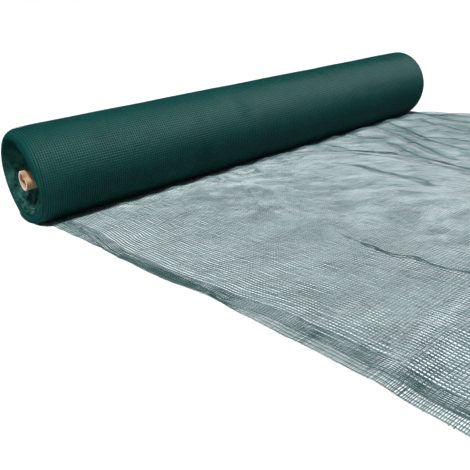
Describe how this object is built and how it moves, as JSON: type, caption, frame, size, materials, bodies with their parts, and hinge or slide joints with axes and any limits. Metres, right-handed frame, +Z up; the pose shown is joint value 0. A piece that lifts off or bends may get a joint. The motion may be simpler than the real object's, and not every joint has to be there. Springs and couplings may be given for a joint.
{
  "type": "roll of olive harvesting net",
  "caption": "Long roll of dark green knitted net on a cardboard tube, its loose end laid out flat on the floor, for catching olives under the trees.",
  "frame": {"origin": "the point of the floor under the middle of the roll, below its axis", "axes": "+X along the tube from the dented near end to the far end; +Z up; the loose net lies towards -Y"},
  "size_m": [2.0519, 1.7558, 0.3116],
  "materials": {
    "wound_net": "dark green knitted polyethylene mesh in many turns, with a soft sheen on its threads",
    "loose_net": "one layer of the same mesh, so open that the floor shows through it; denser along both selvedges",
    "cardboard": "matt brown wound paper, rubbed and dented at its near end"
  },
  "bodies": {
    "root": {"net_roll": "wound_net", "net_sheet": "loose_net", "core_tube": "cardboard"}
  },
  "joints": []
}
